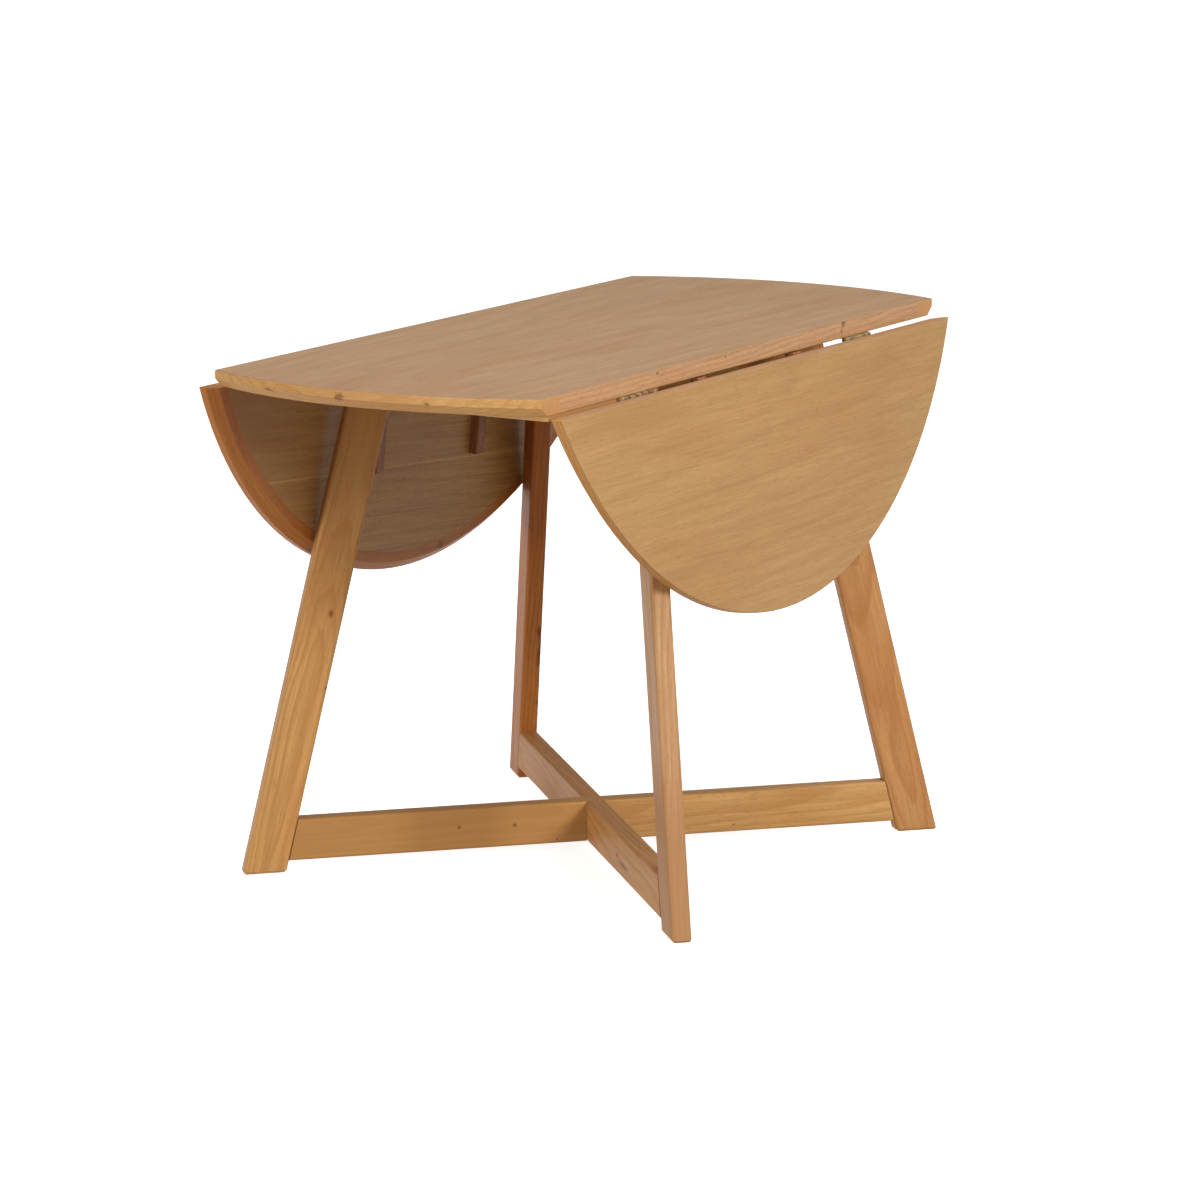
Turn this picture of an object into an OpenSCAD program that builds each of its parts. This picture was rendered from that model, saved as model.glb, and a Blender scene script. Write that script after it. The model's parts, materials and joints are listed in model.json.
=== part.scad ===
// Round drop leaf table on two crossed leg frames.
//
// Frame: origin on the floor under the middle of the top, +Z up, X along the hinge lines.
// The two leaves hang at rest. The near leaf is on the -Y side and the far leaf on the +Y side.
// Every leaf piece is drawn in its raised place and is then turned down about its hinge line.

/* [Top] */
// Height of the table
table_h = 755; // [700:5:800]
// Diameter of the round top with both leaves raised
top_d = 1200; // [1100:10:1300]
// Width of the fixed panel between its two straight edges
panel_w = 520; // [500:10:540]
// Thickness of the panel and of the leaves
board_t = 24; // [22:1:28]
// Gap between the panel and a raised leaf
joint_gap = 1.5; // [1:0.5:3]
// Thickness of the face veneers
veneer_t = 0.8; // [0.6:0.1:1.5]
// Width of the curved solid lipping of the panel
rim_w = 40; // [34:1:48]
// Width of the straight solid lipping along a hinge edge
strip_w = 20; // [18:1:26]
// Height of the bevel under the curved edge
bevel_h = 12; // [6:1:14]
// Width of the bevel under the curved edge
bevel_w = 13; // [6:1:16]
// Softening of the top arrises
arris = 1.2; // [0.5:0.1:2]

/* [Leg frames] */
// Distance from the table's axis to the outer edge of a foot
foot_r = 514; // [500:1:516]
// Splay of the legs from vertical, in degrees
leg_splay = 13.55; // [13.4:0.05:14.5]
// Width of a leg, seen square to its frame
leg_w = 60; // [50:1:64]
// Thickness of the legs, rails and stretchers
frame_t = 28; // [24:1:28]
// Radius of the softened long edges of a leg
leg_round = 5; // [4:1:8]
// Chamfer round the bottom of a foot
foot_chamfer = 4; // [2:1:6]
// Height of the stretchers' underside above the floor
stretcher_z = 17; // [15:1:60]
// Depth of a stretcher
stretcher_h = 60; // [50:1:70]
// Depth of a top rail
rail_h = 70; // [60:1:80]
// Radius of the softened long edges of rails and stretchers
bar_round = 4; // [2:1:6]

/* [Leaves] */
// Angle between a hanging leaf and the vertical, in degrees
leaf_hang = 6; // [6:0.5:9]
// Distance from the middle of the table to the middle of a hinge
hinge_x = 306; // [300:1:360]
// Length of a hinge
hinge_len = 75; // [60:1:90]
// Width of the curved solid lipping of a leaf
leaf_rim_w = 28; // [24:1:36]
// Distance from the middle of the table to a batten on the left
batten_left_x = 138; // [120:1:160]
// Distance from the middle of the table to a batten on the right
batten_right_x = 126; // [110:1:150]
// Width of a batten
batten_w = 22; // [18:1:30]
// Thickness of a batten
batten_t = 14; // [12:1:18]
// Length of a batten
batten_len = 190; // [180:1:210]
// Length of the far leaf's left batten
short_batten_len = 178; // [174:1:190]

/* [Leaf supports] */
// Width of a pull-out support board
loper_w = 168; // [150:1:170]
// Thickness of a pull-out support board
loper_t = 9.5; // [8:0.5:11]
// Length of a pull-out support board
loper_len = 404; // [390:1:404]
// Distance from the middle of the table to the outer edge of a support board
loper_x = 515; // [512:1:518]
// How far a stowed support board lies inside the edge of the panel
loper_setback = 6; // [5:1:10]

/* [Hidden] */

// Smoothness of large and of small round parts
$fn = 48;
fine = 180;
// Room around fitted pieces, and the overrun of cutting shapes
fit = 0.1;
over = 1;

// Levels and edges of the boards
top_r = top_d / 2;
core_r = top_r - rim_w;
leaf_core_r = top_r - leaf_rim_w;
under_z = table_h - board_t;
half_w = panel_w / 2;
leaf_edge = half_w + joint_gap;

// Hinge line of the near leaf
pin_drop = 4;
pin_y = -(half_w + joint_gap / 2);
pin_z = under_z - pin_drop;

// Hinge details
plate_t = 2;
plate_reach = 28;
knuckle_r = 3.5;
knuckles = 5;
knuckle_gap = 0.3;
pin_r = 1.7;
running = 0.05;
root_y = 2.2;
notch_y = 4.2;
hinge_screw_y = 17;
hinge_screw_x = 27;

// Leg geometry: the outer edge moves inwards by slope for each millimetre of height
slope = tan(leg_splay);
leg_span = leg_w / cos(leg_splay);

// Tenons of the rails and stretchers
tenon_len = 26;
tenon_t = 10;
tenon_shoulder = 10;

// Battens of each leaf, as drawn on the near side: [place along the hinge line, length]
near_battens = [[-batten_left_x, batten_len], [batten_right_x, batten_len]];
far_battens = [[batten_left_x, short_batten_len], [-batten_right_x, batten_len]];
batten_lead = 3;
batten_round = 3;
batten_cut = 2 * sqrt(2);

// Slotted support boards: the two bushes of each board stand near the outer end of its slot
loper_mid = loper_x - loper_w / 2;
loper_out = half_w - loper_setback;
loper_gap = 0.1;
slot_r = 6;
slot_out = 90;
slot_in = -130;
bush_spots = [80, 25];
collar_r = 5.8;
collar_h = loper_t + 0.3;
washer_r = 12;
washer_t = 1.6;
pan_h = 2;

// Screws: [shank radius, head radius, length]
hinge_screw = [1.6, 3.2, 14];
batten_screw = [1.75, 3.6, 24];
loper_screw = [2, 4.5, 26];
rail_screw = [2.5, 5, 50];
rail_screw_spots = [-235, -90, 90, 235];
rail_grip = 36;
counterbore_room = 1;
batten_screw_spots = [32, 95, 158];

// ---------------------------------------------------------------- shared shapes

// The whole raised top: a disc with a soft top arris and a bevel under its edge
module top_disc() {
    rotate_extrude($fn = fine)
        polygon([[0, under_z], [top_r - bevel_w, under_z], [top_r, under_z + bevel_h],
                 [top_r, table_h - arris], [top_r - arris, table_h], [0, table_h]]);
}

// A long block between two straight edges, with soft top arrises on the edges
module board_strip(y0, y1) {
    rotate([90, 0, 90])
        linear_extrude(2 * top_r + 2 * over, center = true)
            polygon([[y0, under_z - over], [y1, under_z - over], [y1, table_h - arris],
                     [y1 - arris, table_h + 0.01], [y0 + arris, table_h + 0.01], [y0, table_h - arris]]);
}

// A horizontal layer of everything between two heights
module layer(z0, z1) {
    translate([-top_r - over, -top_r - over, z0])
        cube([2 * top_r + 2 * over, 2 * top_r + 2 * over, z1 - z0]);
}

// A block between two straight edges and two heights, with sharp edges
module slab(y0, y1, z0, z1) {
    translate([-top_r - over, y0, z0])
        cube([2 * top_r + 2 * over, y1 - y0, z1 - z0]);
}

module inner_disc(r, z0, z1) {
    translate([0, 0, z0])
        cylinder(r = r, h = z1 - z0, $fn = fine);
}

// Veneer over the whole top of a board
module top_veneer(y0, y1) {
    intersection() {
        top_disc();
        board_strip(y0, y1);
        layer(table_h - veneer_t, table_h + over);
    }
}

// Veneer under a board, inside the curved lipping, whose inner radius is r
module bottom_veneer(r, y0, y1) {
    intersection() {
        inner_disc(r, under_z, under_z + veneer_t);
        slab(y0, y1, under_z - over, table_h);
    }
}

// The board itself between its veneers
module core(r, y0, y1) {
    intersection() {
        inner_disc(r, under_z + veneer_t, table_h - veneer_t);
        slab(y0, y1, under_z, table_h);
    }
}

// Straight solid strip between the veneers from y0 to y1; the board's own edges are edge0 and edge1
module straight_lipping(r, y0, y1, edge0, edge1) {
    intersection() {
        inner_disc(r, under_z + veneer_t, table_h - veneer_t);
        slab(y0, y1, under_z, table_h);
        board_strip(edge0, edge1);
    }
}

// Curved solid lipping outside the inner disc of radius r
module curved_lipping(r, y0, y1) {
    difference() {
        intersection() {
            top_disc();
            board_strip(y0, y1);
            layer(under_z - over, table_h - veneer_t);
        }
        inner_disc(r, under_z - over, table_h + over);
    }
}

// Bar section with soft edges, exact arcs at the corners
module soft_rect(w, t, r) {
    square([w - 2 * r, t], center = true);
    square([w, t - 2 * r], center = true);
    for (x = [-1, 1], y = [-1, 1])
        translate([x * (w / 2 - r), y * (t / 2 - r)])
            circle(r = r);
}

// Countersunk wood screw, head at the origin, pointing up
module screw_up(size) {
    cylinder(r1 = size[1], r2 = size[0], h = size[1] - size[0]);
    cylinder(r = size[0], h = size[2]);
}

// The same with room round it, for cutting its hole
module screw_hole(size) {
    translate([0, 0, -over])
        cylinder(r = size[1], h = over);
    screw_up([size[0], size[1], size[2] + fit]);
}

// Turns a leaf piece from its raised place down to its hanging place
module near_hang() {
    translate([0, pin_y, pin_z])
        rotate([90 - leaf_hang, 0, 0])
            translate([0, -pin_y, -pin_z])
                children();
}

module far_hang() {
    rotate([0, 0, 180])
        near_hang()
            children();
}

// Both long sides of the table: children() as drawn on the near side, and turned to the far side
module both_sides() {
    for (a = [0, 180])
        rotate([0, 0, a])
            children();
}

// ---------------------------------------------------------------- screws in their places

// Screws of one half of the hinges on one side: dir is 1 for the panel's half, -1 for the leaf's
module hinge_screw_places(dir) {
    for (h = [-1, 1], s = [-1, 0, 1])
        translate([h * hinge_x + s * hinge_screw_x, pin_y + dir * hinge_screw_y, under_z - plate_t])
            children();
}

module batten_screw_places(x) {
    for (d = batten_screw_spots)
        translate([x, -leaf_edge - d, under_z - batten_t])
            children();
}

// Middles of the bushes that hold one support board, at the underside of the panel
module bush_places() {
    for (y = bush_spots)
        translate([-loper_mid, -y, under_z])
            children();
}

// Screws up through a top rail, in the rail's own line
module rail_screw_places() {
    for (u = rail_screw_spots)
        translate([u, 0, under_z - rail_grip])
            children();
}

// ---------------------------------------------------------------- fixed panel

module panel_core() {
    color("burlywood")
        difference() {
            core(core_r, -half_w + strip_w, half_w - strip_w);
            both_sides()
                bush_places()
                    pilot_hole();
            for (a = [-45, 45])
                rotate([0, 0, a])
                    rail_screw_places()
                        screw_hole(rail_screw);
        }
}

module panel_end_lipping(side) {
    color("peru")
        intersection() {
            curved_lipping(core_r, -half_w, half_w);
            translate([side * top_r, 0, table_h / 2])
                cube([top_r, panel_w + 2 * over, table_h + 2 * over], center = true);
        }
}

module panel_side_lipping() {
    color("tan")
        difference() {
            straight_lipping(core_r, -half_w, -half_w + strip_w, -half_w, half_w);
            hinge_screw_places(1)
                screw_hole(hinge_screw);
        }
}

module panel_top_veneer() {
    color("rosybrown")
        top_veneer(-half_w, half_w);
}

module panel_bottom_veneer() {
    color("sienna")
        difference() {
            bottom_veneer(core_r, -half_w, half_w);
            both_sides() {
                hinge_screw_places(1)
                    screw_hole(hinge_screw);
                bush_places()
                    pilot_hole();
            }
            for (a = [-45, 45])
                rotate([0, 0, a])
                    rail_screw_places()
                        screw_hole(rail_screw);
        }
}

// ---------------------------------------------------------------- leg frames

// Leg on the +X end of a frame that lies along X
module leg_bar() {
    intersection() {
        translate([foot_r - leg_span / 2, 0, 0])
            rotate([0, -leg_splay, 0])
                linear_extrude(3 * table_h, center = true)
                    soft_rect(leg_w, frame_t, leg_round);
        translate([0, -frame_t, 0])
            cube([foot_r + leg_w, 2 * frame_t, under_z]);
    }
}

// Wedges that take the sharp corners off the bottom of a foot
module foot_cutters() {
    mid = foot_r - leg_span / 2;
    for (s = [-1, 1]) {
        translate([mid, s * frame_t / 2, 0])
            rotate([45, 0, 0])
                cube([2 * leg_w, foot_chamfer * sqrt(2), foot_chamfer * sqrt(2)], center = true);
        translate([mid + s * leg_span / 2, 0, 0])
            rotate([0, 45, 0])
                cube([foot_chamfer * sqrt(2), 2 * frame_t, foot_chamfer * sqrt(2)], center = true);
    }
}

// Tenon on the +X end of a bar, grown by room all round when it cuts its mortise
module tenon(z0, h, room) {
    zc = z0 + h / 2;
    face = foot_r - slope * zc - leg_span;
    translate([face - tenon_len, -tenon_t / 2 - room, z0 + tenon_shoulder - room])
        cube([2 * tenon_len + room, tenon_t + 2 * room, h - 2 * tenon_shoulder + 2 * room]);
}

module leg() {
    color("peru")
        difference() {
            leg_bar();
            foot_cutters();
            tenon(stretcher_z, stretcher_h, fit);
            tenon(under_z - rail_h, rail_h, fit);
        }
}

// Bar between the two legs of a frame, its ends cut to the splay, with a tenon at each end
module cross_bar(z0, h) {
    intersection() {
        translate([0, 0, z0 + h / 2])
            rotate([90, 0, 90])
                linear_extrude(2 * foot_r, center = true)
                    soft_rect(frame_t, h, bar_round);
        rotate([90, 0, 0])
            linear_extrude(2 * frame_t, center = true) {
                lo = foot_r - leg_span - slope * (z0 - over);
                hi = foot_r - leg_span - slope * (z0 + h + over);
                polygon([[-lo, z0 - over], [lo, z0 - over], [hi, z0 + h + over], [-hi, z0 + h + over]]);
            }
    }
    for (a = [0, 180])
        rotate([0, 0, a])
            tenon(z0, h, 0);
}

// Notch of half the depth for the bar that crosses; top is 1 to cut the upper half, 0 the lower
module lap_notch(z0, h, top) {
    translate([0, 0, z0 + h / 2 + (top - 0.5) * (h / 2 + over - fit)])
        rotate([0, 0, 90])
            cube([2 * frame_t + leg_w, frame_t + 2 * fit, h / 2 + over], center = true);
}

module stretcher(top) {
    color("chocolate")
        difference() {
            cross_bar(stretcher_z, stretcher_h);
            lap_notch(stretcher_z, stretcher_h, top);
        }
}

module top_rail(top) {
    z0 = under_z - rail_h;
    color("saddlebrown")
        difference() {
            cross_bar(z0, rail_h);
            lap_notch(z0, rail_h, top);
            rail_screw_places() {
                screw_hole(rail_screw);
                translate([0, 0, -rail_h])
                    cylinder(r = rail_screw[1] + counterbore_room, h = rail_h);
            }
        }
}

module rail_screws() {
    color("silver")
        for (a = [-45, 45])
            rotate([0, 0, a])
                rail_screw_places()
                    screw_up(rail_screw);
}

// ---------------------------------------------------------------- leaf supports

// Pull-out board with a long slot, stowed under the near left corner of the panel
module loper() {
    color("tan")
        difference() {
            translate([-loper_x, -loper_out, under_z - loper_gap - loper_t])
                cube([loper_w, loper_len, loper_t]);
            for (y = [slot_out, slot_in])
                translate([-loper_mid, -y, under_z - 2 * loper_t])
                    cylinder(r = slot_r, h = 2 * loper_t);
            translate([-loper_mid - slot_r, -slot_out, under_z - 2 * loper_t])
                cube([2 * slot_r, slot_out - slot_in, 2 * loper_t]);
        }
}

// Collar that stands in the slot, with a wide washer below it that carries the board
module bush() {
    difference() {
        union() {
            translate([0, 0, -collar_h])
                cylinder(r = collar_r, h = collar_h);
            translate([0, 0, -collar_h - washer_t])
                cylinder(r = washer_r, h = washer_t);
        }
        translate([0, 0, -2 * collar_h])
            cylinder(r = loper_screw[0], h = 2 * collar_h + over);
    }
}

module loper_bushes() {
    color("goldenrod")
        both_sides()
            bush_places()
                bush();
}

// Pan head screw up through a bush into the panel
module pan_screw() {
    low = -collar_h - washer_t;
    translate([0, 0, low - pan_h])
        cylinder(r = loper_screw[1], h = pan_h);
    translate([0, 0, low - pan_h])
        cylinder(r = loper_screw[0], h = loper_screw[2] + pan_h);
}

module pilot_hole() {
    low = -collar_h - washer_t;
    translate([0, 0, -over])
        cylinder(r = loper_screw[0], h = loper_screw[2] + low + over + fit);
}

module loper_screws() {
    color("silver")
        both_sides()
            bush_places()
                pan_screw();
}

// ---------------------------------------------------------------- hinges

// One half of a hinge in its flat place; dir is 1 for the panel's half and -1 for the leaf's.
// first is the number of its first knuckle, and it has every second knuckle from there.
module hinge_half(dir, first, bore_r) {
    pitch = hinge_len / knuckles;
    translate([0, pin_y, pin_z])
        difference() {
            union() {
                translate([-hinge_len / 2, dir > 0 ? notch_y : -plate_reach, pin_drop - plate_t])
                    cube([hinge_len, plate_reach - notch_y, plate_t]);
                for (i = [first : 2 : knuckles - 1])
                    translate([-hinge_len / 2 + i * pitch + knuckle_gap / 2, 0, 0]) {
                        rotate([0, 90, 0])
                            cylinder(r = knuckle_r, h = pitch - knuckle_gap);
                        translate([0, dir > 0 ? root_y : -notch_y - over, pin_drop - plate_t])
                            cube([pitch - knuckle_gap, notch_y - root_y + over, plate_t]);
                    }
            }
            rotate([0, 90, 0])
                cylinder(r = bore_r, h = hinge_len + 2 * over, center = true);
        }
}

module hinge_fixed_plates() {
    color("goldenrod")
        both_sides()
            difference() {
                for (h = [-1, 1])
                    translate([h * hinge_x, 0, 0])
                        hinge_half(1, 0, pin_r);
                hinge_screw_places(1)
                    screw_hole(hinge_screw);
            }
}

module leaf_hinge_plates() {
    color("gold")
        difference() {
            for (h = [-1, 1])
                translate([h * hinge_x, 0, 0])
                    hinge_half(-1, 1, pin_r + running);
            hinge_screw_places(-1)
                screw_hole(hinge_screw);
        }
}

module hinge_pins() {
    color("silver")
        both_sides()
            for (h = [-1, 1])
                translate([h * hinge_x, pin_y, pin_z])
                    rotate([0, 90, 0])
                        cylinder(r = pin_r, h = hinge_len, center = true);
}

module hinge_fixed_screws() {
    color("silver")
        both_sides()
            hinge_screw_places(1)
                screw_up(hinge_screw);
}

// ---------------------------------------------------------------- leaf, in its raised place

module leaf_core(battens) {
    color("burlywood")
        difference() {
            core(leaf_core_r, -top_r, -leaf_edge - strip_w);
            for (b = battens)
                batten_screw_places(b[0])
                    screw_hole(batten_screw);
        }
}

module leaf_curved_lipping() {
    color("peru")
        curved_lipping(leaf_core_r, -top_r - over, -leaf_edge);
}

module leaf_hinge_lipping() {
    color("tan")
        difference() {
            straight_lipping(leaf_core_r, -leaf_edge - strip_w, -leaf_edge, -top_r, -leaf_edge);
            hinge_screw_places(-1)
                screw_hole(hinge_screw);
        }
}

module leaf_top_veneer() {
    color("rosybrown")
        top_veneer(-top_r - 2 * over, -leaf_edge);
}

module leaf_bottom_veneer(battens) {
    color("sienna")
        difference() {
            bottom_veneer(leaf_core_r, -top_r, -leaf_edge);
            hinge_screw_places(-1)
                screw_hole(hinge_screw);
            for (b = battens)
                batten_screw_places(b[0])
                    screw_hole(batten_screw);
        }
}

// One batten; its end stands a little past the hinge edge, with a chamfer that clears the panel
module leaf_batten(batten) {
    color("brown")
        difference() {
            translate([batten[0], -leaf_edge + batten_lead, under_z - batten_t / 2])
                rotate([90, 0, 0])
                    linear_extrude(batten[1])
                        batten_section();
            translate([batten[0], -leaf_edge + batten_lead, under_z])
                rotate([45, 0, 0])
                    cube([batten_w + 2 * over, batten_cut, batten_cut], center = true);
            batten_screw_places(batten[0])
                screw_hole(batten_screw);
        }
}

// Batten section: flat against the leaf, its two outer edges rounded
module batten_section() {
    translate([-batten_w / 2, -batten_t / 2 + batten_round])
        square([batten_w, batten_t - batten_round]);
    translate([-batten_w / 2 + batten_round, -batten_t / 2])
        square([batten_w - 2 * batten_round, batten_t]);
    for (x = [-1, 1])
        translate([x * (batten_w / 2 - batten_round), -batten_t / 2 + batten_round])
            circle(r = batten_round);
}

module leaf_batten_screws(battens) {
    color("silver")
        for (b = battens)
            batten_screw_places(b[0])
                screw_up(batten_screw);
}

module leaf_hinge_screws() {
    color("silver")
        hinge_screw_places(-1)
            screw_up(hinge_screw);
}

// ---------------------------------------------------------------- nodes

panel_core();
panel_end_lipping(-1);  // panel_end_lipping_left
panel_end_lipping(1);  // panel_end_lipping_right
panel_side_lipping();  // panel_side_lipping_near
rotate([0, 0, 180]) panel_side_lipping();  // panel_side_lipping_far
panel_top_veneer();
panel_bottom_veneer();
rotate([0, 0, 135]) leg();  // leg_left_far
rotate([0, 0, 45]) leg();  // leg_right_far
rotate([0, 0, 225]) leg();  // leg_left_near
rotate([0, 0, -45]) leg();  // leg_right_near
rotate([0, 0, -45]) stretcher(0);  // stretcher_over
rotate([0, 0, 45]) stretcher(1);  // stretcher_under
rotate([0, 0, -45]) top_rail(0);  // top_rail_over
rotate([0, 0, 45]) top_rail(1);  // top_rail_under
rail_screws();
loper();  // near_loper
rotate([0, 0, 180]) loper();  // far_loper
loper_bushes();
loper_screws();
hinge_fixed_plates();
hinge_pins();
hinge_fixed_screws();
near_hang() leaf_core(near_battens);  // near_leaf_core
near_hang() leaf_curved_lipping();  // near_leaf_curved_lipping
near_hang() leaf_hinge_lipping();  // near_leaf_hinge_lipping
near_hang() leaf_top_veneer();  // near_leaf_top_veneer
near_hang() leaf_bottom_veneer(near_battens);  // near_leaf_bottom_veneer
near_hang() leaf_batten(near_battens[0]);  // near_leaf_batten_left
near_hang() leaf_batten(near_battens[1]);  // near_leaf_batten_right
near_hang() leaf_batten_screws(near_battens);  // near_leaf_batten_screws
near_hang() leaf_hinge_plates();  // near_leaf_hinge_plates
near_hang() leaf_hinge_screws();  // near_leaf_hinge_screws
far_hang() leaf_core(far_battens);  // far_leaf_core
far_hang() leaf_curved_lipping();  // far_leaf_curved_lipping
far_hang() leaf_hinge_lipping();  // far_leaf_hinge_lipping
far_hang() leaf_top_veneer();  // far_leaf_top_veneer
far_hang() leaf_bottom_veneer(far_battens);  // far_leaf_bottom_veneer
far_hang() leaf_batten(far_battens[0]);  // far_leaf_batten_left
far_hang() leaf_batten(far_battens[1]);  // far_leaf_batten_right
far_hang() leaf_batten_screws(far_battens);  // far_leaf_batten_screws
far_hang() leaf_hinge_plates();  // far_leaf_hinge_plates
far_hang() leaf_hinge_screws();  // far_leaf_hinge_screws
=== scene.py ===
"""Looks of the drop leaf table: wood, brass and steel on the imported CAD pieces, in metres."""
import json
import math

import bpy
from mathutils import Matrix, Vector


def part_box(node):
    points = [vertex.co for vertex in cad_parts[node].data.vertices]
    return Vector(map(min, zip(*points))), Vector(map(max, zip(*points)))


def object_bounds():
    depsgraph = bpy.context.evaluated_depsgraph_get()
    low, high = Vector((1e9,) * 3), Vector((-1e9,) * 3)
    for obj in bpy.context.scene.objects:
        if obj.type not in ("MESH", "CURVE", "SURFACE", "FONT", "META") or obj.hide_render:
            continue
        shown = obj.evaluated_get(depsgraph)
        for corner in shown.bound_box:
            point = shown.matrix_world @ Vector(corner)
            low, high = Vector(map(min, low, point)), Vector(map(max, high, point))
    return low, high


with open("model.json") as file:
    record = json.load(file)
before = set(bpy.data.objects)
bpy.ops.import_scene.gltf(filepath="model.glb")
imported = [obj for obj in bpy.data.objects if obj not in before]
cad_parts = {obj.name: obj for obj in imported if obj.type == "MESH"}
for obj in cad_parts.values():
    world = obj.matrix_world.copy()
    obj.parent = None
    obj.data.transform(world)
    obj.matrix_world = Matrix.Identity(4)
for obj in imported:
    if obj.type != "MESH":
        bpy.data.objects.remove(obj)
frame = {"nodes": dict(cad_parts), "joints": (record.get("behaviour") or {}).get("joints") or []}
cad_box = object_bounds()
nodes = frame["nodes"]

X = Vector((1, 0, 0))
Y = Vector((0, 1, 0))
Z = Vector((0, 0, 1))

# Sizes of the CAD pieces: angles from the vertical, half the thickness of the stretchers and
# rails, and the radius of the circle that the panel's ends and the leaves' rims lie on
LEG_SPLAY = math.radians(13.55)
LEAF_HANG = math.radians(90 - frame["joints"][0]["range_deg"][1])
BAR_HALF = 0.014
TOP_RADIUS = cad_box[1][0]

BEVEL_SAMPLES = 4
WHITE = (1, 1, 1, 1)
BLACK = (0, 0, 0, 1)


# ---------------------------------------------------------------- node helpers

class Graph:
    """Short calls for building one material's node tree."""

    def __init__(self, name):
        self.mat = bpy.data.materials.new(name)
        self.mat.use_nodes = True
        self.tree = self.mat.node_tree
        self.tree.nodes.clear()

    def node(self, kind, **settings):
        made = self.tree.nodes.new("ShaderNode" + kind)
        for key, value in settings.items():
            setattr(made, key, value)
        return made

    def put(self, socket, value):
        """Links an output socket to an input, or sets the input to a plain value."""
        if isinstance(value, bpy.types.NodeSocket):
            self.tree.links.new(value, socket)
        else:
            socket.default_value = value

    def math(self, op, a, b=0.0):
        n = self.node("Math", operation=op)
        self.put(n.inputs[0], a)
        self.put(n.inputs[1], b)
        return n.outputs[0]

    def vmath(self, op, a, b=(0, 0, 0)):
        n = self.node("VectorMath", operation=op)
        self.put(n.inputs[0], a)
        self.put(n.inputs[1], b)
        return n.outputs["Value"] if op in ("LENGTH", "DOT_PRODUCT") else n.outputs[0]

    def split(self, vector):
        n = self.node("SeparateXYZ")
        self.put(n.inputs[0], vector)
        return n.outputs

    def hypotenuse(self, a, b):
        return self.math("SQRT", self.math("ADD", self.math("POWER", a, 2.0), self.math("POWER", b, 2.0)))

    def noise(self, place, layer):
        """Noise with the layer's cells, drawn out along the first axis."""
        n = self.node("TexNoise")
        cells = (layer["along"], layer["across"], layer["across"])
        self.put(n.inputs["Vector"], self.vmath("MULTIPLY", place, cells))
        n.inputs["Scale"].default_value = 1.0
        n.inputs["Detail"].default_value = layer["detail"]
        n.inputs["Roughness"].default_value = layer.get("rough", 0.5)
        return n.outputs

    def mask(self, place, layer):
        """The layer's noise as a mask: 0 at the start of its span and 1 at the end."""
        return self.span(self.noise(place, layer)["Fac"], *layer["span"])

    def span(self, value, low, high, to_low=0.0, to_high=1.0):
        n = self.node("MapRange", interpolation_type="SMOOTHSTEP")
        self.put(n.inputs["Value"], value)
        for key, number in (("From Min", low), ("From Max", high), ("To Min", to_low), ("To Max", to_high)):
            n.inputs[key].default_value = number
        return n.outputs[0]

    def mix(self, factor, a, b):
        n = self.node("Mix", data_type="RGBA")
        self.put(n.inputs["Factor"], factor)
        self.put(n.inputs[6], a)
        self.put(n.inputs[7], b)
        return n.outputs[2]

    def soft_normal(self, radius):
        n = self.node("Bevel", samples=BEVEL_SAMPLES)
        n.inputs["Radius"].default_value = radius
        return n.outputs[0]

    def finish(self, colour, rough, height, bump, depth, edge, **plain):
        """Surface with edges that look rounded by the radius edge, and with relief from height."""
        relief = self.node("Bump")
        relief.inputs["Strength"].default_value = bump
        relief.inputs["Distance"].default_value = depth
        self.put(relief.inputs["Height"], height)
        self.put(relief.inputs["Normal"], self.soft_normal(edge))
        surface = self.node("BsdfPrincipled")
        self.put(surface.inputs["Base Color"], colour)
        self.put(surface.inputs["Roughness"], rough)
        self.put(surface.inputs["Normal"], relief.outputs[0])
        for key, value in plain.items():
            surface.inputs[key.replace("_", " ")].default_value = value
        return self.show(surface)

    def show(self, surface):
        out = self.node("OutputMaterial")
        self.tree.links.new(surface.outputs[0], out.inputs[0])
        return self.mat


def rgb(r, g, b):
    """Linear colour from an sRGB one given in 0 to 255."""
    def lin(v):
        v /= 255
        return v / 12.92 if v <= 0.04045 else ((v + 0.055) / 1.055) ** 2.4
    return (lin(r), lin(g), lin(b), 1.0)


def shade_of(tone, shade):
    red, green, blue = shade
    return (tone[0] * red, tone[1] * green, tone[2] * blue, 1)


# ---------------------------------------------------------------- wood

# Kinds of figure. "ring" is the spacing of the growth rings and "pith" how far the pith lies aside
# and behind, in metres. "waves" is how far the rings wander, in rings. The rest is how strongly
# each layer shows.
VENEER = {"ring": 0.016, "pith": (0.12, 0.45), "waves": 3.0, "rings": 0.18, "streaks": 0.3,
          "lines": 0.28, "redness": 0.35, "pores": 0.25}
COARSE = {"ring": 0.011, "pith": (0.05, 0.25), "waves": 3.0, "rings": 0.3, "streaks": 0.7,
          "lines": 1.0, "redness": 0.25, "pores": 0.5}
SOLID = {"ring": 0.0062, "pith": (0.018, 0.05), "waves": 6.0, "rings": 0.6, "streaks": 0.55,
         "lines": 0.35, "redness": 0.6, "pores": 0.3}
BAR = {"ring": 0.007, "pith": (0.02, 0.06), "waves": 4.0, "rings": 0.55, "streaks": 0.6,
       "lines": 0.45, "redness": 0.4, "pores": 0.35}
PLAIN = {"ring": 0.008, "pith": (0.03, 0.09), "waves": 3.0, "rings": 0.35, "streaks": 0.5,
         "lines": 0.35, "redness": 0.4, "pores": 0.4}

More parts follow.
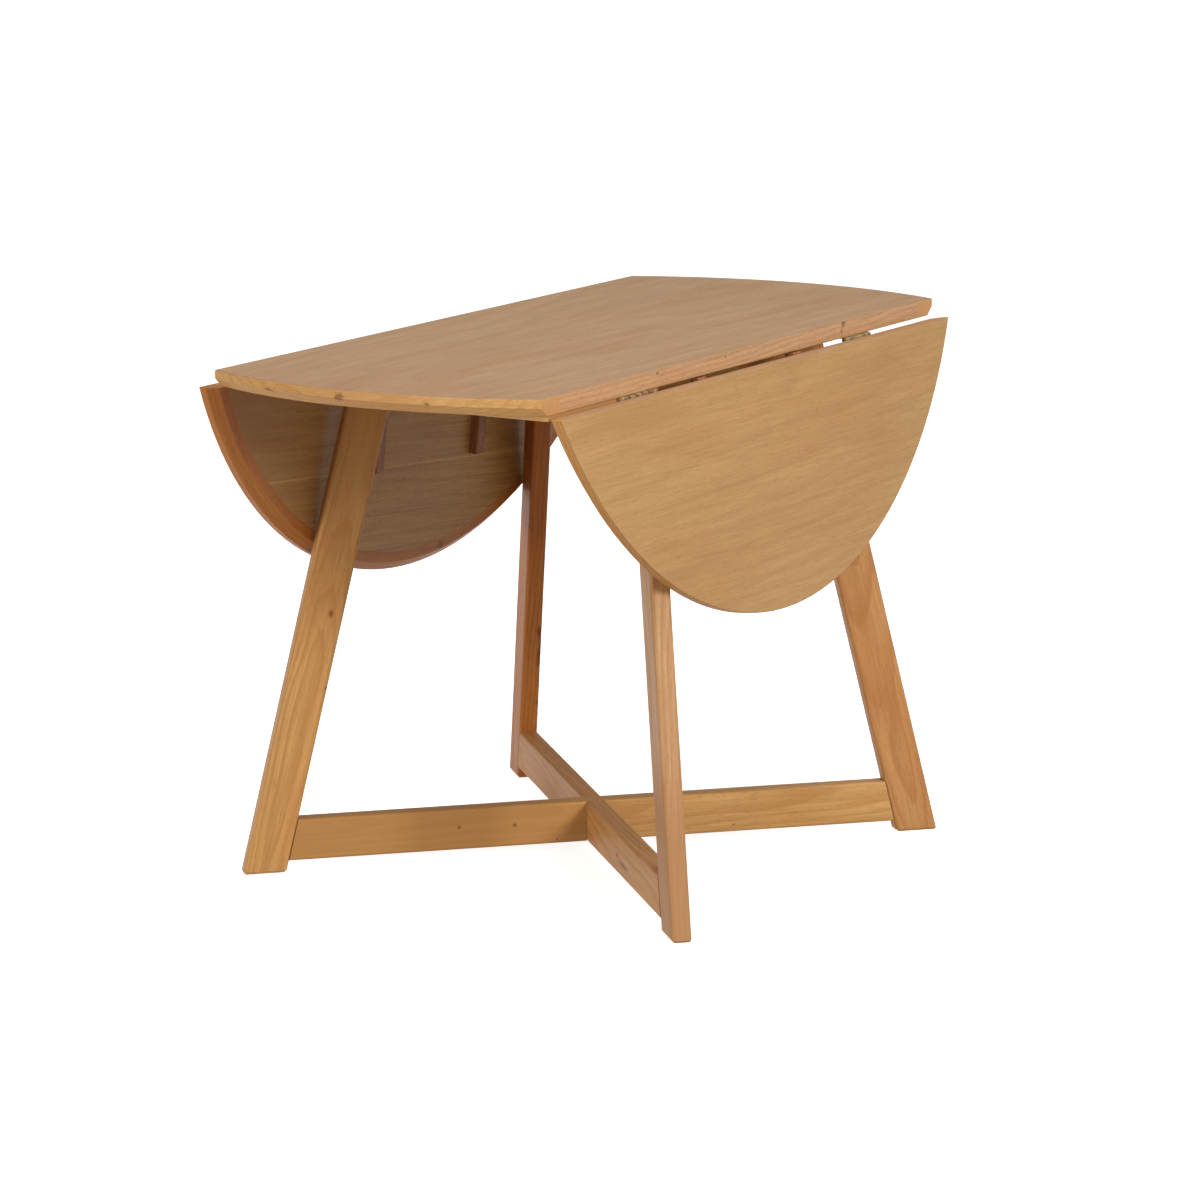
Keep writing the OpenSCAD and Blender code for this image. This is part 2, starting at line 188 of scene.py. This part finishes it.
# Layers of noise: cells to a metre along and across the grain, octaves and their roughness, and
# the values of the noise between which the layer comes in
SWAY = {"along": 2.0, "across": 6, "detail": 2}
DRIFT = {"along": 2.6, "across": 13, "detail": 2}
STREAKS = {"along": 3.0, "across": 60, "detail": 4, "rough": 0.65, "span": (0.36, 0.7)}
LINES = {"along": 4, "across": 230, "detail": 3, "rough": 0.6, "span": (0.44, 0.68)}
FIBRES = {"along": 14, "across": 420, "detail": 3, "rough": 0.65, "span": (0.35, 0.75)}
PORES = {"along": 75, "across": 560, "detail": 2, "span": (0.56, 0.7)}
CLOUDS = {"along": 2.6, "across": 11, "detail": 4, "span": (0.4, 0.68)}
KNOT_EDGE = {"along": 260, "across": 420, "detail": 2}
PATCHES = {"along": 30, "across": 60, "detail": 3, "span": (0.3, 0.65)}
GLOSS = {"along": 6, "across": 22, "detail": 3}

# Colours within one piece, as red, green and blue factors on its tone
EARLY = (1.2, 1.22, 1.26)
LATE = (0.8, 0.64, 0.47)
DARK = (0.66, 0.56, 0.44)
REDDISH = (0.97, 0.76, 0.6)
IN_PORES = (0.5, 0.4, 0.3)
# Redder and darker; at the top of the left far leg this is painted warm shade
REDDENED = (0.8, 0.66, 0.52)
END_GRAIN = (0.86, 0.76, 0.84)
IN_KNOTS = (0.36, 0.2, 0.1)
SEAM_LIGHT = (1.7, 1.75, 1.8)
# Lighter arrises: partly wear, partly a painted highlight where the edges catch the light
WORN_AND_HIGHLIT = (1.45, 1.5, 1.6)

# How strongly the layers that are the same in every figure show
STREAK_DEPTH = 0.6
LINE_DEPTH = 0.6
FIBRE_DEPTH = 0.3
REDDENED_DEPTH = 0.8
END_GRAIN_DEPTH = 0.75
KNOT_DEPTH = 0.85
SEAM_DEPTH = 0.42
WEAR_AND_HIGHLIGHT_DEPTH = 0.22

# How far the grain sways, and how far each seed shifts the figure, in metres: along, across
# and through the board
SWAY_REACH = (0.02, 0.010, 0.010)
SEED_STEP = (3.1, 1.7, 2.3)
# Metres that the pith climbs through the board in a metre along it, for even and odd seeds
PITH_CLIMB = (-0.025, 0.035)
# Parts of a ring's width over which late wood comes in and ends
LATE_COMES = (0.3, 0.88)
LATE_ENDS = (0.9, 1.0)
# A knot's middle, its outer edge and the raggedness of its outline, in sizes of the knot
KNOT_CORE = 0.3
KNOT_OUTSIDE = 1.15
KNOT_RAGGED = 1.6
# How squarely a face has to lie across the grain to show end grain
ACROSS_GRAIN = (0.85, 1.0)
# Metres from the middle of a seam at which it starts to fade and is gone
SEAM_FADE = (0.0006, 0.0022)
# Arrises are worn and carry a painted highlight where the normal softened over this radius leaves
# the true one: cosines of the angle between the two at which the wear and highlight are full and none
ARRIS_RADIUS = 0.0025
ARRIS_TURN = (0.8, 0.99)
# The wood's surface: rounding of its edges, roughness, and relief of fibres and pores
WOOD_EDGE = 0.0012
WOOD_ROUGH = 0.42
WOOD_ROUGH_VARIES = 0.16
WOOD_BUMP = 0.22
WOOD_BUMP_DEPTH = 0.0002
FIBRE_RELIEF = 0.5
PORE_RELIEF = 0.9


def board_axes(grain, wide):
    """Rotation that turns object axes into (along the grain, across the face, through the board)."""
    grain = grain.normalized()
    through = grain.cross(wide).normalized()
    wide = through.cross(grain)
    return Matrix((grain, wide, through))


def bent_round(g, place, radius):
    """Coordinates whose first axis runs round a circle about the origin."""
    along, down, through = g.split(place)
    reach = g.hypotenuse(along, down)
    bent = g.node("CombineXYZ")
    g.put(bent.inputs[0], g.math("MULTIPLY", g.math("ARCTAN2", along, down), radius))
    g.put(bent.inputs[1], g.math("SUBTRACT", reach, radius))
    g.put(bent.inputs[2], through)
    return bent.outputs[0]


def growth_rings(g, place, figure, seed):
    """Rings round a pith line that climbs slowly through the board: 0 in early wood, 1 in late wood."""
    drift = g.noise(g.vmath("ADD", place, (seed, seed, seed)), DRIFT)["Fac"]
    wander = g.math("MULTIPLY", g.math("SUBTRACT", drift, 0.5), figure["waves"])
    along, across, through = g.split(place)
    aside_by, behind_by = figure["pith"]
    climb = g.math("MULTIPLY", along, PITH_CLIMB[seed % 2])
    behind = g.math("ADD", climb, g.math("SUBTRACT", through, behind_by))
    aside = g.math("SUBTRACT", across, aside_by * (seed % 3 - 1))
    reach = g.hypotenuse(behind, aside)
    turn = g.math("FRACT", g.math("ADD", g.math("DIVIDE", reach, figure["ring"]), wander))
    return g.math("MULTIPLY", g.span(turn, *LATE_COMES), g.span(turn, *LATE_ENDS, 1.0, 0.0))


def knot_mask(g, place, axes, origin, marks):
    """Knots: 1 at the middle of each mark, 0 away from it, longest along the grain."""
    mask = None
    for where, size, stretch in marks:
        away = g.vmath("SUBTRACT", place, tuple(axes @ (Vector(where) - origin)))
        away = g.vmath("MULTIPLY", away, (1 / stretch, 1, 1))
        rough = g.math("SUBTRACT", g.noise(place, KNOT_EDGE)["Fac"], 0.5)
        reach = g.math("ADD", g.vmath("LENGTH", away), g.math("MULTIPLY", rough, size * KNOT_RAGGED))
        near = g.span(reach, size * KNOT_CORE, size * KNOT_OUTSIDE, 1.0, 0.0)
        mask = near if mask is None else g.math("MAXIMUM", mask, near)
    return mask


def arris_wear_and_highlight(g, shifted):
    """Patches along the arrises that are worn and carry a painted highlight: 1 where they are most worn and
    brightest.
    """
    turned = g.vmath("DOT_PRODUCT", g.soft_normal(ARRIS_RADIUS), g.node("NewGeometry").outputs["Normal"])
    return g.math("MULTIPLY", g.span(turned, *ARRIS_TURN, 1.0, 0.0), g.mask(shifted, PATCHES))


def wood(name, tone, axes, origin, figure, seed, bend=0.0, marks=(), seam=None, redder=None):
    """Satin wood in one average tone, with rings, streaks, fibres, pores, marks, and arrises that are worn
    and carry a painted highlight.

    bend is the radius round which the grain curves, or 0. seam is the place across the
    grain of a joint between two veneers. redder is a stretch along the grain, in metres from the
    origin, over which the colour turns redder and darker; at the top of the left far leg this
    is painted warm shade.
    """
    g = Graph(name)
    coords = g.node("TexCoord")
    mapping = g.node("Mapping")
    mapping.inputs["Rotation"].default_value = axes.to_euler()
    mapping.inputs["Location"].default_value = -(axes @ origin)
    g.put(mapping.inputs["Vector"], coords.outputs["Object"])
    place = flat = mapping.outputs[0]
    if bend:
        place = bent_round(g, place, bend)
    shifted = g.vmath("ADD", place, tuple(seed * step for step in SEED_STEP))
    sway = g.vmath("SUBTRACT", g.noise(shifted, SWAY)["Color"], (0.5, 0.5, 0.5))
    sway = g.vmath("MULTIPLY", sway, SWAY_REACH)
    flow = g.vmath("ADD", shifted, sway)
    fibre = g.noise(flow, FIBRES)["Fac"]
    pore = g.mask(flow, PORES)

    # Masks, their strengths and their colours, each laid over the ones before
    coats = [
        (growth_rings(g, g.vmath("ADD", place, sway), figure, seed), figure["rings"], LATE),
        (g.mask(flow, STREAKS), figure["streaks"] * STREAK_DEPTH, DARK),
        (g.mask(flow, LINES), figure["lines"] * LINE_DEPTH, DARK),
        (g.mask(shifted, CLOUDS), figure["redness"], REDDISH),
        (g.span(fibre, *FIBRES["span"]), FIBRE_DEPTH, DARK),
        (pore, figure["pores"], IN_PORES),
    ]
    # A stretch of the grain turned redder and darker; at the top of the left far leg it is painted warm
    # shade
    if redder:
        along = g.math("SUBTRACT", g.split(flow)[0], seed * SEED_STEP[0])
        coats.append((g.span(along, *redder), REDDENED_DEPTH, REDDENED))
    if not bend:
        facing = g.math("ABSOLUTE", g.vmath("DOT_PRODUCT", coords.outputs["Normal"], tuple(axes[0])))
        coats.append((g.span(facing, *ACROSS_GRAIN), END_GRAIN_DEPTH, END_GRAIN))
    if marks:
        coats.append((knot_mask(g, flat, axes, origin, marks), KNOT_DEPTH, IN_KNOTS))
    if seam is not None:
        off = g.math("ABSOLUTE", g.math("SUBTRACT", g.split(place)[1], seam))
        coats.append((g.span(off, *SEAM_FADE, 1.0, 0.0), SEAM_DEPTH, SEAM_LIGHT))
    # The arrises are lightened both as wear and as a painted highlight
    coats.append((arris_wear_and_highlight(g, shifted), WEAR_AND_HIGHLIGHT_DEPTH, WORN_AND_HIGHLIT))
    colour = shade_of(tone, EARLY)
    for mask, strength, shade in coats:
        colour = g.mix(g.math("MULTIPLY", mask, strength), colour, shade_of(tone, shade))

    gloss = g.noise(shifted, GLOSS)["Fac"]
    roughness = g.math("ADD", WOOD_ROUGH, g.math("MULTIPLY", gloss, WOOD_ROUGH_VARIES))
    hollows = g.math("MULTIPLY", pore, PORE_RELIEF)
    height = g.math("SUBTRACT", g.math("MULTIPLY", fibre, FIBRE_RELIEF), hollows)
    return g.finish(colour, roughness, height, WOOD_BUMP, WOOD_BUMP_DEPTH, WOOD_EDGE,
                    Specular_IOR_Level=0.26, IOR=1.46)


# ---------------------------------------------------------------- metals

TARNISH = {"along": 88, "across": 88, "detail": 4, "span": (0.38, 0.66)}
RUBBED = {"along": 220, "across": 1760, "detail": 2}
METAL_EDGE = 0.0003
METAL_ROUGH_VARIES = 0.18
METAL_BUMP = 0.15
METAL_BUMP_DEPTH = 0.0001


def metal(name, colour, tarnish, rough):
    """Rubbed metal that has tarnished in clouds."""
    g = Graph(name)
    coords = g.node("TexCoord").outputs["Object"]
    tint = g.mix(g.mask(coords, TARNISH), colour, tarnish)
    grain = g.noise(coords, RUBBED)["Fac"]
    roughness = g.math("ADD", rough, g.math("MULTIPLY", grain, METAL_ROUGH_VARIES))
    return g.finish(tint, roughness, grain, METAL_BUMP, METAL_BUMP_DEPTH, METAL_EDGE, Metallic=1.0)


# ---------------------------------------------------------------- where each material lies

def box_centre(name):
    low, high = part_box(name)
    return (low + high) / 2


def leg_axes(name):
    centre = box_centre(name)
    out = Vector((centre.x, centre.y, 0)).normalized()
    along = math.cos(LEG_SPLAY) * Z - math.sin(LEG_SPLAY) * out
    return board_axes(along, math.cos(LEG_SPLAY) * out + math.sin(LEG_SPLAY) * Z)


def bar_axes(degrees):
    turned = Vector((math.cos(math.radians(degrees)), math.sin(math.radians(degrees)), 0))
    return board_axes(turned, Z)


def on_bar(degrees, along, height):
    """A point on the left face of a bar of the leg frames."""
    a = math.radians(degrees)
    across = BAR_HALF if degrees > 0 else -BAR_HALF
    x = along * math.cos(a) - across * math.sin(a)
    y = along * math.sin(a) + across * math.cos(a)
    return (x, y, height)


def on_leg(name, height, outward, across):
    """A point of a leg at a height, measured outward and across from its middle line."""
    centre = box_centre(name)
    axes = leg_axes(name)
    up = (height - centre.z) / math.cos(LEG_SPLAY)
    return centre + axes[0] * up + axes[1] * outward + axes[2] * across


def on_end(across, height):
    """A point on the curved left end of the panel."""
    return (-math.sqrt(TOP_RADIUS ** 2 - across ** 2), across, height)


def on_edge(along, height):
    """A point on the near long edge of the panel."""
    return (along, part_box("panel_side_lipping_near")[0].y, height)


def leaf_axes(side, slant=0.0):
    """Side is -1 for the near leaf and 1 for the far one; slant turns the grain down to the right."""
    down = Vector((0, side * math.sin(LEAF_HANG), -math.cos(LEAF_HANG)))
    turned = math.cos(slant) * X + math.sin(slant) * down
    return board_axes(turned, math.cos(slant) * down - math.sin(slant) * X)


def paint(name, material):
    """Puts one material on the whole of a CAD piece."""
    for slot in nodes[name].material_slots:
        slot.material = material


def hinge_line(body):
    return Vector(next(j["pos_m"] for j in frame["joints"] if j["child"] == body))


# Average tones of the pieces
TOP = rgb(168, 132, 93)
END = rgb(198, 154, 94)
EDGE = rgb(183, 143, 103)
LEAF_FACE = rgb(172, 133, 83)
LEAF_BACK = rgb(176, 138, 84)
RIM = rgb(178, 116, 54)
NEAR_RIM = rgb(190, 138, 78)
LEFT_FAR_LEG = rgb(195, 148, 90)
# The right far leg's tone is darker and redder than the other legs: its own colour with painted warm shade,
# as it stands in the shade under the table
RIGHT_FAR_LEG_SHADED = rgb(172, 108, 48)
LEFT_NEAR_LEG = rgb(184, 143, 98)
RIGHT_NEAR_LEG = rgb(180, 131, 79)
OVER_BAR = rgb(192, 149, 92)
UNDER_BAR = rgb(184, 133, 76)
BATTEN = rgb(146, 96, 62)
PALE = rgb(186, 146, 104)

# Knots and blemishes: place, size and stretch along the grain
END_KNOTS = [
    (on_end(0.142, 0.742), 0.004, 2.5),
    (on_end(0.017, 0.744), 0.0075, 1.2),
    (on_end(0.055, 0.740), 0.0025, 1.5),
    (on_end(-0.115, 0.744), 0.0025, 2.0),
]
EDGE_KNOTS = [
    (on_edge(0.268, 0.7535), 0.0095, 0.8),
    (on_edge(0.262, 0.742), 0.004, 0.7),
    (on_edge(-0.068, 0.748), 0.002, 1.5),
    (on_edge(-0.250, 0.750), 0.002, 2.0),
]
OVER_KNOTS = [
    (on_bar(-45, -0.201, 0.050), 0.0025, 1.3),
    (on_bar(-45, -0.120, 0.048), 0.0035, 1.2),
    (on_bar(-45, -0.058, 0.023), 0.0025, 0.6),
    (on_bar(-45, 0.205, 0.028), 0.0025, 1.2),
]
UNDER_KNOTS = [
    (on_bar(45, -0.200, 0.044), 0.004, 2.5),
    (on_bar(45, -0.235, 0.037), 0.0045, 7.0),
]
LEG_KNOTS = {
    "leg_left_far": [
        (on_leg("leg_left_far", 0.375, -0.011, 0.014), 0.004, 1.8),
        (on_leg("leg_left_far", 0.272, -0.028, 0.014), 0.003, 1.5),
    ],
    "leg_right_far": [
        (on_leg("leg_right_far", 0.247, -0.030, -0.009), 0.0035, 4.0),
        (on_leg("leg_right_far", 0.207, -0.030, -0.011), 0.005, 4.0),
        (on_leg("leg_right_far", 0.166, -0.030, -0.013), 0.0035, 5.0),
        (on_leg("leg_right_far", 0.133, -0.030, -0.013), 0.004, 3.0),
    ],
}
# The knot on the far leaf's rim, from the middle of its hinge line: along, down and through the leaf
RIM_KNOT = Vector((0.056, 0.318, 0.001))
RIM_KNOT_SIZE = 0.008
RIM_KNOT_STRETCH = 1.4

# Stretches over which the colour turns redder and darker, measured up a leg from its middle, along a
# stretcher or rail from its middle, and along the back of a leaf from the middle of its hinge line. At the
# top of the left far leg, under the panel, this is painted warm shade.
LEG_REDDER = {"leg_left_far": (0.12, 0.34), "leg_left_near": (-0.1, -0.26)}
OVER_REDDER = (0.15, -0.12)
BACK_REDDER = (-0.2, -0.5)

# On the back of a leaf, the veneer's joint below the hinge and how far its grain is off level
JOINT_DOWN = 0.1834
BACK_SLANT = math.radians(4.4)
# The radius of the middle of the rims
RIM_BEND = 0.585


# Each piece has a seed of its own, so that no two have the same figure
def dress_panel():
    middle = box_centre("panel_core")
    along_x = board_axes(X, Y)
    paint("panel_top_veneer", wood("top_veneer", TOP, along_x, middle, VENEER, 1))
    paint("panel_bottom_veneer", wood("under_veneer", LEAF_BACK, along_x, middle, COARSE, 2))
    paint("panel_core", wood("board_core", PALE, along_x, middle, PLAIN, 3))
    sides = (("panel_side_lipping_near", EDGE_KNOTS), ("panel_side_lipping_far", ()))
    for seed, (name, marks) in enumerate(sides, 4):
        paint(name, wood(name + "_wood", EDGE, along_x, box_centre(name), PLAIN, seed, marks=marks))
    ends = (("panel_end_lipping_left", END_KNOTS), ("panel_end_lipping_right", ()))
    for seed, (name, marks) in enumerate(ends, 6):
        paint(name, wood(name + "_wood", END, board_axes(Y, Z), box_centre(name), PLAIN, seed, marks=marks))


def dress_frames():
    legs = (
        ("leg_left_far", LEFT_FAR_LEG),
        ("leg_right_far", RIGHT_FAR_LEG_SHADED),
        ("leg_left_near", LEFT_NEAR_LEG),
        ("leg_right_near", RIGHT_NEAR_LEG),
    )
    for seed, (name, tone) in enumerate(legs, 10):
        paint(name, wood(name + "_wood", tone, leg_axes(name), box_centre(name), SOLID, seed,
                         marks=LEG_KNOTS.get(name, ()), redder=LEG_REDDER.get(name)))
    bars = (
        ("stretcher_over", OVER_BAR, -45, OVER_KNOTS, OVER_REDDER),
        ("stretcher_under", UNDER_BAR, 45, UNDER_KNOTS, None),
        ("top_rail_over", OVER_BAR, -45, (), OVER_REDDER),
        ("top_rail_under", UNDER_BAR, 45, (), None),
    )
    for seed, (name, tone, turn, marks, redder) in enumerate(bars, 20):
        paint(name, wood(name + "_wood", tone, bar_axes(turn), box_centre(name), BAR, seed,
                         marks=marks, redder=redder))


def dress_leaf(body, side, seed, rim_tone):
    axes = leaf_axes(side)
    line = hinge_line(body)
    paint(body + "_top_veneer", wood(body + "_face", LEAF_FACE, axes, line, VENEER, seed))
    paint(body + "_bottom_veneer", wood(body + "_back", LEAF_BACK, leaf_axes(side, BACK_SLANT), line, COARSE,
                                        seed + 1, seam=JOINT_DOWN, redder=BACK_REDDER))
    paint(body + "_core", wood(body + "_board", PALE, axes, line, PLAIN, seed + 2))
    paint(body + "_hinge_lipping", wood(body + "_strip", EDGE, axes, line, SOLID, seed + 3))
    # The rim's grain bends round the middle of the raised top
    centre = line - axes[1] * abs(line.y)
    knot = (line + axes.transposed() @ RIM_KNOT, RIM_KNOT_SIZE, RIM_KNOT_STRETCH)
    paint(body + "_curved_lipping", wood(body + "_rim", rim_tone, axes, centre, PLAIN, seed + 4,
                                         bend=RIM_BEND, marks=[knot] if body == "far_leaf" else ()))
    for hand in ("left", "right"):
        name = f"{body}_batten_{hand}"
        paint(name, wood(name + "_wood", BATTEN, board_axes(axes[1], X), box_centre(name), SOLID, seed + 5))


def dress_supports():
    for seed, name in enumerate(("near_loper", "far_loper"), 50):
        paint(name, wood(name + "_wood", END, board_axes(Y, X), box_centre(name), PLAIN, seed))


def dress_metal():
    brass = metal("aged_brass", rgb(222, 200, 156), tarnish=rgb(150, 116, 74), rough=0.36)
    steel = metal("zinc_steel", rgb(190, 188, 180), tarnish=rgb(140, 136, 126), rough=0.3)
    bronze = metal("bronzed_steel", rgb(132, 88, 58), tarnish=rgb(104, 68, 44), rough=0.5)
    for name in nodes:
        if name.endswith("hinge_plates") or name in ("hinge_fixed_plates", "loper_bushes"):
            paint(name, brass)
        elif name.endswith("batten_screws"):
            paint(name, bronze)
        elif name.endswith("screws") or name == "hinge_pins":
            paint(name, steel)


# ---------------------------------------------------------------- stage, light and camera

FLOOR_HALF = 40.0
FLOOR_COLOUR = (0.85, 0.85, 0.85, 1)
FLOOR_GLOW = 0.78
STAGE_ROUGH = 0.9
DOME_RADIUS = 38
DOME_GLOW = 1.5

# Light from all round: its strength, its colour from below, and the sines of the heights between
# which it turns white
SKY_POWER = 0.42
SKY_BELOW = (0.92, 0.78, 0.58, 1)
SKY_LOW = -0.25
SKY_HIGH = 0.2
AIM = Vector((0, 0, 0.45))

# The camera of the photograph, solved from the table's outlines
LENS_MM = 140.65
SENSOR_MM = 36.0
CAMERA_PLACE = (-5.5811, -3.4599, 1.7160)
CAMERA_YAW = math.radians(-58.298)
CAMERA_PITCH = math.radians(11.596)
CAMERA_ROLL = math.radians(-0.391)
CAMERA_REACH = 200


def plain_surface(name, colour, glow):
    g = Graph(name)
    surface = g.node("BsdfPrincipled")
    surface.inputs["Base Color"].default_value = colour
    surface.inputs["Roughness"].default_value = STAGE_ROUGH
    surface.inputs["Emission Color"].default_value = WHITE
    surface.inputs["Emission Strength"].default_value = glow
    return g.show(surface)


def make_floor():
    """A pale floor, inside a white dome that only the camera sees."""
    corners = [(x * FLOOR_HALF, y * FLOOR_HALF, 0) for x, y in ((-1, -1), (1, -1), (1, 1), (-1, 1))]
    mesh = bpy.data.meshes.new("floor")
    mesh.from_pydata(corners, [], [(0, 1, 2, 3)])
    floor = bpy.data.objects.new("floor", mesh)
    bpy.context.scene.collection.objects.link(floor)
    mesh.materials.append(plain_surface("pale_floor", FLOOR_COLOUR, FLOOR_GLOW))
    floor.visible_diffuse = False
    bpy.ops.mesh.primitive_uv_sphere_add(segments=48, ring_count=24, radius=DOME_RADIUS)
    dome = bpy.context.object
    dome.name = "dome"
    dome.data.materials.append(plain_surface("white_dome", BLACK, DOME_GLOW))
    for kind in ("diffuse", "glossy", "shadow", "transmission"):
        setattr(dome, "visible_" + kind, False)


def area_light(name, place, size, power, colour=(1, 1, 1)):
    data = bpy.data.lights.new(name, "AREA")
    data.size = size
    data.energy = power
    data.color = colour
    light = bpy.data.objects.new(name, data)
    light.location = place
    light.rotation_euler = (AIM - Vector(place)).to_track_quat("-Z", "Y").to_euler()
    bpy.context.scene.collection.objects.link(light)


def make_sky():
    """White light from above that turns dim and warm below."""
    world = bpy.data.worlds.new("studio")
    world.use_nodes = True
    tree = world.node_tree
    shine = tree.nodes["Background"]
    shine.inputs[1].default_value = SKY_POWER
    kinds = ("TexCoord", "SeparateXYZ", "MapRange", "Mix")
    coords, parts, ramp, tint = (tree.nodes.new("ShaderNode" + kind) for kind in kinds)
    ramp.inputs["From Min"].default_value = SKY_LOW
    ramp.inputs["From Max"].default_value = SKY_HIGH
    tint.data_type = "RGBA"
    tint.inputs[6].default_value = SKY_BELOW
    tint.inputs[7].default_value = WHITE
    tree.links.new(coords.outputs["Generated"], parts.inputs[0])
    tree.links.new(parts.outputs[2], ramp.inputs["Value"])
    tree.links.new(ramp.outputs[0], tint.inputs["Factor"])
    tree.links.new(tint.outputs[2], shine.inputs[0])
    bpy.context.scene.world = world


def make_lights():
    make_sky()
    area_light("key", (-1.9, -5.2, 2.5), size=1.5, power=205)
    area_light("fill", (-5.0, 1.9, 0.9), size=2.0, power=95)
    area_light("top", (-0.5, -0.6, 4.2), size=2.4, power=74, colour=(0.94, 0.98, 1.18))


def make_camera():
    data = bpy.data.cameras.new("camera")
    data.sensor_width = SENSOR_MM
    data.lens = LENS_MM
    data.clip_end = CAMERA_REACH
    camera = bpy.data.objects.new("camera", data)
    level = Vector((-math.sin(CAMERA_YAW), math.cos(CAMERA_YAW), 0))
    ahead = level * math.cos(CAMERA_PITCH) - Z * math.sin(CAMERA_PITCH)
    flat_right = Vector((math.cos(CAMERA_YAW), math.sin(CAMERA_YAW), 0))
    flat_up = flat_right.cross(ahead)
    right = math.cos(CAMERA_ROLL) * flat_right + math.sin(CAMERA_ROLL) * flat_up
    up = math.cos(CAMERA_ROLL) * flat_up - math.sin(CAMERA_ROLL) * flat_right
    turn = Matrix((right, up, -ahead)).transposed()
    camera.matrix_world = Matrix.Translation(CAMERA_PLACE) @ turn.to_4x4()
    bpy.context.scene.collection.objects.link(camera)
    bpy.context.scene.camera = camera


make_camera()
make_floor()
make_lights()
dress_panel()
dress_frames()
dress_leaf("near_leaf", -1, 30, NEAR_RIM)
dress_leaf("far_leaf", 1, 40, RIM)
dress_supports()
dress_metal()
bpy.context.scene.view_settings.view_transform = "Standard"
